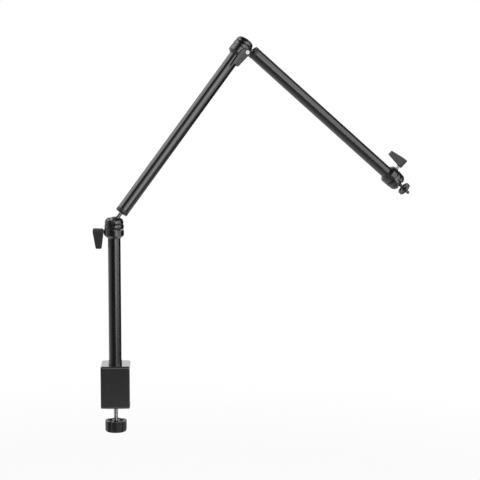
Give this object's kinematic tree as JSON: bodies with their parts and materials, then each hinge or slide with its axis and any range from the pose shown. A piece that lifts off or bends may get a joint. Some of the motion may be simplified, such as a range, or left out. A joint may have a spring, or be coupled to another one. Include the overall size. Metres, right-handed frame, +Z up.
{
  "type": "flexible desk arm",
  "caption": "Table clamp carrying a short post and two long tubular arms, joined by lever-locked ball heads and ending in a camera screw with a lock disc.",
  "frame": {"origin": "on the desk's top, in the post's axis: the underside of the upper jaw's pad", "axes": "+Z up along the post; the clamp's throat opens towards +Y; the plain front plate faces -Y"},
  "size_m": [0.5722, 0.2297, 0.6889],
  "materials": {
    "bracket_coat": "fine matt powder coat on steel",
    "black_anodised": "satin black anodised",
    "black_steel": "blackened steel",
    "bright_steel": "bright zinc-plated steel",
    "ball_steel": "blackened steel",
    "plain_steel": "plain steel",
    "bare_aluminium": "bare turned aluminium",
    "knob_plastic": "black moulded plastic",
    "pad_rubber": "soft black pad"
  },
  "bodies": {
    "base": {"clamp_bracket": "bracket_coat", "upper_jaw_pad": "pad_rubber", "screw_bush": "black_steel", "post_foot": "black_anodised", "foot_screw": "black_steel", "post_tube": "black_anodised", "post_base_plug": "black_anodised", "post_housing": "black_anodised", "post_grub_screw": "black_steel"},
    "clamp_pad": {"swivel_pad": "black_steel", "swivel_pad_face": "pad_rubber"},
    "screw": {"clamp_screw": "bright_steel", "clamp_knob": "knob_plastic"},
    "post_cup": {"post_pressure_cup": "bare_aluminium"},
    "post_lock": {"post_lever_spindle": "plain_steel", "post_lever_screw": "bright_steel", "post_lever_spring": "plain_steel"},
    "post_handle": {"post_lever_handle": "knob_plastic"},
    "lower_ball": {"lower_arm_ball": "ball_steel"},
    "lower_arm": {"lower_arm_cap": "black_anodised", "lower_arm_tube": "black_anodised", "elbow_base_plug": "black_anodised", "elbow_housing": "black_anodised", "elbow_grub_screw": "black_steel"},
    "elbow_cup": {"elbow_pressure_cup": "bare_aluminium"},
    "elbow_lock": {"elbow_lever_spindle": "plain_steel", "elbow_lever_screw": "bright_steel", "elbow_lever_spring": "plain_steel"},
    "elbow_handle": {"elbow_lever_handle": "knob_plastic"},
    "upper_ball": {"upper_arm_ball": "ball_steel"},
    "upper_arm": {"upper_arm_cap": "black_anodised", "upper_arm_tube": "black_anodised", "tip_base_plug": "black_anodised", "tip_housing": "black_anodised", "tip_grub_screw": "black_steel"},
    "tip_cup": {"tip_pressure_cup": "bare_aluminium"},
    "tip_lock": {"tip_lever_spindle": "plain_steel", "tip_lever_screw": "bright_steel", "tip_lever_spring": "plain_steel"},
    "tip_handle": {"tip_lever_handle": "knob_plastic"},
    "camera_end": {"camera_ball": "ball_steel"},
    "disc": {"lock_disc": "black_anodised"}
  },
  "joints": [
    {"name": "clamp_pad_slide", "type": "slide", "parent": "base", "child": "clamp_pad", "axis": [0, 0, 1], "range_m": [-0.0172, 0.02]},
    {"name": "clamp_screw_turn", "type": "hinge", "parent": "clamp_pad", "child": "screw", "pos_m": [0, 0.01, -0.0409], "axis": [0, 0, 1], "continuous": true},
    {"name": "post_pan", "type": "hinge", "parent": "base", "child": "post_cup", "pos_m": [0, 0, 0.2575], "axis": [0, 0, 1], "continuous": true},
    {"name": "post_tilt", "type": "hinge", "parent": "post_cup", "child": "lower_ball", "pos_m": [0, 0, 0.2575], "axis": [-0.3939, 0.9191, 0], "range_deg": [-39.2, 2.3]},
    {"name": "lower_arm_spin", "type": "hinge", "parent": "lower_ball", "child": "lower_arm", "pos_m": [0, 0, 0.2575], "axis": [0.5809, 0.249, 0.7749], "continuous": true},
    {"name": "elbow_pan", "type": "hinge", "parent": "lower_arm", "child": "elbow_cup", "pos_m": [0.22755, 0.09753, 0.56105], "axis": [0.5809, 0.249, 0.7749], "range_deg": [-3.5, 11.5]},
    {"name": "elbow_tilt", "type": "hinge", "parent": "elbow_cup", "child": "upper_ball", "pos_m": [0.22755, 0.09753, 0.56105], "axis": [-0.3548, 0.9343, -0.0342], "range_deg": [-91.4, 5]},
    {"name": "upper_arm_spin", "type": "hinge", "parent": "upper_ball", "child": "upper_arm", "pos_m": [0.22755, 0.09753, 0.56105], "axis": [0.7181, 0.249, -0.6498], "continuous": true},
    {"name": "tip_pan", "type": "hinge", "parent": "upper_arm", "child": "tip_cup", "pos_m": [0.50884, 0.19505, 0.3065], "axis": [0.7181, 0.249, -0.6498], "continuous": true},
    {"name": "tip_tilt", "type": "hinge", "parent": "tip_cup", "child": "camera_end", "pos_m": [0.50884, 0.19505, 0.3065], "axis": [-0.1937, 0.9684, 0.157], "range_deg": [-1.5, 40]},
    {"name": "disc_turn", "type": "hinge", "parent": "camera_end", "child": "disc", "pos_m": [0.52214, 0.19977, 0.29379], "axis": [0.7004, 0.2485, -0.6691], "continuous": true},
    {"name": "post_lever_turn", "type": "hinge", "parent": "base", "child": "post_lock", "pos_m": [-0.0193, 0.0034, 0.241], "axis": [-0.9848, 0.1736, 0], "range_deg": [-150, 0]},
    {"name": "post_lever_lift", "type": "slide", "parent": "post_lock", "child": "post_handle", "axis": [-0.9848, 0.1736, 0], "range_m": [0, 0.0024], "stiffness_N_per_m": 900, "springref_m": -0.001, "deforming": ["post_lever_spring"]},
    {"name": "elbow_lever_turn", "type": "hinge", "parent": "lower_arm", "child": "elbow_lock", "pos_m": [0.2259, 0.0755, 0.54806], "axis": [0.4051, -0.9142, -0.0099], "range_deg": [-150, 0]},
    {"name": "elbow_lever_lift", "type": "slide", "parent": "elbow_lock", "child": "elbow_handle", "axis": [0.4051, -0.9142, -0.0099], "range_m": [0, 0.0024], "stiffness_N_per_m": 900, "springref_m": -0.001, "deforming": ["elbow_lever_spring"]},
    {"name": "tip_lever_turn", "type": "hinge", "parent": "upper_arm", "child": "tip_lock", "pos_m": [0.5125, 0.19124, 0.33448], "axis": [0.6684, 0.0131, 0.7437], "range_deg": [-150, 0]},
    {"name": "tip_lever_lift", "type": "slide", "parent": "tip_lock", "child": "tip_handle", "axis": [0.6684, 0.0131, 0.7437], "range_m": [0, 0.0024], "stiffness_N_per_m": 900, "springref_m": -0.001, "deforming": ["tip_lever_spring"]}
  ],
  "couplings": [
    {"joint": "clamp_screw_turn", "follows": "clamp_pad_slide", "rad_per_m": 5026.5}
  ]
}
